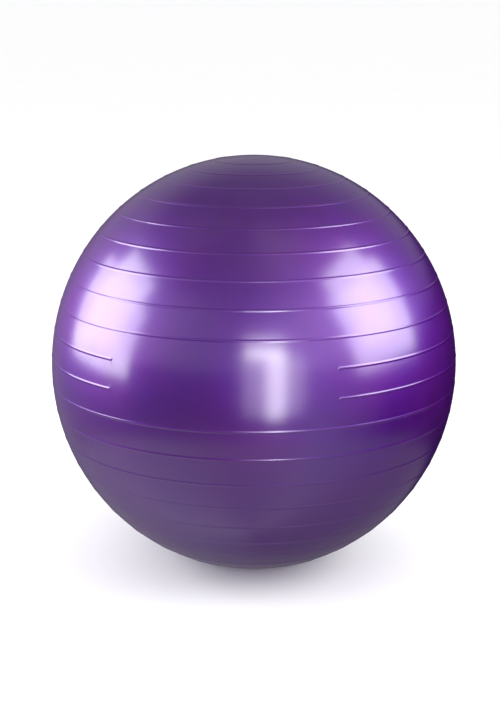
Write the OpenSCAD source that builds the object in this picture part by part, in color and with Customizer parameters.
// Exercise ball: a hollow ribbed skin, a valve seat moulded into it, and an air plug.
// Frame: +Z is up and is the axis that the ribs run round. The ball rests on Z = 0.
// The smooth panel in the ribs faces -Y, and the valve faces +Y.

/* [Ball] */
// Width of the inflated ball over its smooth skin
ball_width = 635; // [600:1:680]
// Height of the inflated ball before it settles on the floor
ball_height = 652; // [620:1:700]
// Thickness of the skin
wall = 1; // [0.8:0.1:2.5]
// Radius of the flat patch that the ball rests on
contact_radius = 38; // [25:1:40]
// Latitude below the equator where the patch's rounded edge meets the ball's side
settle_latitude = 80; // [79.5:0.5:82]

/* [Ribs] */
// Number of ribs on each half of the ball
ribs_per_half = 11; // [7:1:11]
// Width of a rib
rib_width = 4; // [2.6:0.1:6]
// Height of a rib above the skin
rib_height = 0.5; // [0.3:0.1:1.2]
// Number of ribs above the equator that stop at the smooth panel
panel_ribs = 2; // [1:1:3]
// Angle that the smooth panel takes up round the ball
panel_angle = 63; // [40:0.5:90]

/* [Valve seat] */
// Diameter of the seat in the skin
seat_diameter = 34; // [28:0.5:36]
// Thickness of the seat's disc
seat_thickness = 3; // [2.8:0.1:4]
// Diameter of the recess for the plug's head
recess_diameter = 21; // [18:0.5:22]
// Depth of that recess
recess_depth = 2.2; // [1.5:0.1:2.4]
// Diameter of the air bore
bore_diameter = 8.1; // [6:0.1:9]
// Diameter of the boss round the bore, inside the ball
boss_diameter = 16; // [13:0.5:17]
// Depth of the boss below the skin
boss_depth = 22; // [16:1:30]

/* [Air plug] */
// Gap between the plug's head and the recess wall
head_gap = 0.8; // [0.5:0.1:1.5]
// Thickness of the plug's head at its edge
head_thickness = 1.7; // [1.2:0.1:2.2]
// Rise of the domed head over its edge
head_dome = 0.9; // [0.3:0.1:1.2]
// Length of the plug's stem below its head
stem_length = 26; // [20:1:36]
// Running clearance between the stem and the bore, on the radius
stem_clearance = 0.05; // [0.02:0.01:0.1]
// Number of sealing rings on the stem
stem_rings = 4; // [2:1:5]

/* [Hidden] */

$fn = 180;
PURPLE = [0.37, 0.19, 0.53];
WHITE = [0.93, 0.93, 0.91];

// Half-axes of the ball, and the angle between one rib and the next
half_width = ball_width / 2;
half_height = ball_height / 2;
rib_pitch = 90 / (ribs_per_half + 1);
mm_per_degree = PI * half_width / 180;

// Rounded edge of the resting patch: it runs on smoothly into the ball's side
settle_slope = slope(-settle_latitude);
edge_radius = (half_width * cos(settle_latitude) - contact_radius) / cos(settle_slope);
centre_z = edge_radius * (1 + sin(settle_slope)) + half_height * sin(settle_latitude);
edge_steps = 4;

// Shares of the rib pitch at which the skin has a point above each rib, and on the cap above the last
band_shares = [1 / 3, 2 / 3];
cap_shares = [1, 4 / 3];
// Angle between two points of the inside's outline
inner_step = 2.5;
// Angles round a rib's half-round section
rib_turns = [-90:30:90];
// Growth of a stopped rib at its blunt ends, in width and in height
end_widening = 1.15;
end_rise = 1.1;

// Valve
valve_latitude = rib_pitch;
seat_radius = seat_diameter / 2;
recess_radius = recess_diameter / 2;
bore_radius = bore_diameter / 2;
boss_radius = boss_diameter / 2;
seat_edge_drop = seat_radius * seat_radius / ball_width;
seat_underside = -seat_edge_drop - seat_thickness;
bead_width = 3;
bead_height = 0.8;
boss_fillet = 2;
boss_chamfer = 1;

// Plug
head_radius = recess_radius - head_gap;
head_rest_gap = 0.02;
head_underside = -recess_depth + head_rest_gap;
head_steps = 5;
stem_radius = bore_radius - stem_clearance;
ring_height = 0.6;
neck_radius = stem_radius - ring_height;
stem_tip = head_underside - stem_length;
tip_length = 5;
tip_taper = 0.6;
tip_radius = tip_taper * stem_radius;
ring_pitch = (stem_length - tip_length) / stem_rings;
// Shares of the ring pitch, up from its foot, where a ring gets its full width, loses it, and ends
ring_shares = [0.45, 0.75, 0.8];

// Angle above the horizontal of the outward normal at a latitude
function slope(latitude) = atan2(sin(latitude) / half_height, cos(latitude) / half_width);

// Point of the ball's outline at a latitude, lifted off the smooth skin
function skin_point(latitude, lift = 0) = [
    half_width * cos(latitude) + lift * cos(slope(latitude)),
    centre_z + half_height * sin(latitude) + lift * sin(slope(latitude))
];

// Outline of the resting patch, from the axis to where it joins the ball's side
function foot_outline(inset) = concat(
    [[0, inset]],
    [
        for (step = [0:edge_steps])
            let (turn = -90 + (settle_slope + 90) * step / edge_steps)
            [
                contact_radius + (edge_radius - inset) * cos(turn),
                edge_radius + (edge_radius - inset) * sin(turn)
            ]
    ]
);

// Latitude of a rib, counted up from the lowest one
function rib_latitude(index) = (index - ribs_per_half + 0.5) * rib_pitch;

// Height of a rib that goes right round, or nothing for one that the panel stops
function whole_rib_height(index) =
    index >= ribs_per_half && index < ribs_per_half + panel_ribs ? 0 : rib_height;

// Half-round outline of a rib at a latitude
function rib_outline(latitude, height) = [
    for (turn = rib_turns)
        skin_point(latitude + rib_width / 2 * sin(turn) / mm_per_degree, height * cos(turn))
];

// Outline of the skin's outside, with every rib that goes right round
function outer_outline() = concat(
    foot_outline(0),
    [
        for (index = [0:2 * ribs_per_half - 1])
            each concat(
                rib_outline(rib_latitude(index), whole_rib_height(index)),
                [for (share = band_shares) skin_point(rib_latitude(index) + share * rib_pitch)]
            )
    ],
    [for (share = cap_shares) skin_point(rib_latitude(2 * ribs_per_half - 1) + share * rib_pitch)],
    [[0, centre_z + half_height]]
);

// Outline of the skin's inside
function inner_outline() =
    let (steps = round((90 + settle_latitude) / inner_step))
    concat(
        foot_outline(wall),
        [
            for (step = [1:steps - 1])
                skin_point(-settle_latitude + (90 + settle_latitude) * step / steps, -wall)
        ],
        [[0, centre_z + half_height - wall]]
    );

// Puts its children on the skin at a latitude and a heading, with +Z outwards
module on_skin(latitude, heading) {
    rotate([0, 0, heading])
        translate([skin_point(latitude).x, 0, skin_point(latitude).y])
            rotate([0, 90 - slope(latitude), 0])
                children();
}

// Rib that stops at both sides of the smooth panel, with blunt round ends
module stopped_rib(latitude) {
    end_radius = end_widening * rib_width / 2;
    end_height = end_rise * rib_height;
    rotate([0, 0, -90 + panel_angle / 2])
        rotate_extrude(angle = 360 - panel_angle)
            polygon(concat(
                rib_outline(latitude, rib_height),
                [
                    skin_point(latitude + rib_width / 2 / mm_per_degree, -wall / 2),
                    skin_point(latitude - rib_width / 2 / mm_per_degree, -wall / 2)
                ]
            ));
    for (side = [-1, 1])
        on_skin(latitude, -90 + side * panel_angle / 2)
            rotate_extrude($fn = 48)
                polygon(concat(
                    [[0, -wall / 2], [end_radius, -wall / 2]],
                    [for (turn = [0:15:90]) [end_radius * cos(turn), end_height * sin(turn)]]
                ));
}

// One-piece moulded skin, with its ribs and the hole for the valve seat
module skin() {
    color(PURPLE)
        difference() {
            union() {
                rotate_extrude() polygon(outer_outline());
                for (index = [ribs_per_half:ribs_per_half + panel_ribs - 1])
                    stopped_rib(rib_latitude(index));
            }
            rotate_extrude() polygon(inner_outline());
            on_skin(valve_latitude, 90)
                translate([0, 0, -boss_depth])
                    cylinder(d = seat_diameter, h = 2 * boss_depth);
        }
}

// Valve seat: a disc flush with the skin, a rimmed recess, and a boss with the air bore
module valve_seat() {
    color(PURPLE)
        on_skin(valve_latitude, 90)
            rotate_extrude()
                polygon(concat(
                    [
                        [bore_radius, -boss_depth],
                        [bore_radius, -recess_depth],
                        [recess_radius, -recess_depth],
                        [recess_radius, 0]
                    ],
                    [
                        for (turn = [150:-30:0])
                            [
                                recess_radius + bead_width / 2 * (1 + cos(turn)),
                                bead_height * sin(turn) - seat_edge_drop / 2
                            ]
                    ],
                    [
                        [seat_radius, -seat_edge_drop],
                        [seat_radius, seat_underside],
                        [boss_radius + boss_fillet, seat_underside],
                        [boss_radius, seat_underside - boss_fillet],
                        [boss_radius, boss_chamfer - boss_depth],
                        [boss_radius - boss_chamfer, -boss_depth]
                    ]
                ));
}

// Air plug: a domed head in the recess and a ringed, tapered stem in the bore
module air_plug() {
    color(WHITE)
        on_skin(valve_latitude, 90)
            rotate_extrude()
                polygon(concat(
                    [[0, stem_tip], [tip_radius, stem_tip]],
                    [
                        for (ring = [stem_rings:-1:1])
                            let (foot = head_underside - ring * ring_pitch)
                            each [
                                [neck_radius, foot],
                                [stem_radius, foot + ring_shares[0] * ring_pitch],
                                [stem_radius, foot + ring_shares[1] * ring_pitch],
                                [neck_radius, foot + ring_shares[2] * ring_pitch]
                            ]
                    ],
                    [
                        [neck_radius, head_underside],
                        [head_radius, head_underside],
                        [head_radius, head_underside + head_thickness - head_dome / 2]
                    ],
                    [
                        for (step = [1:head_steps])
                            let (turn = 90 * step / head_steps)
                            [
                                head_radius * cos(turn),
                                head_underside + head_thickness + head_dome * (sin(turn) - 0.5)
                            ]
                    ]
                ));
}

skin();
valve_seat();
air_plug();
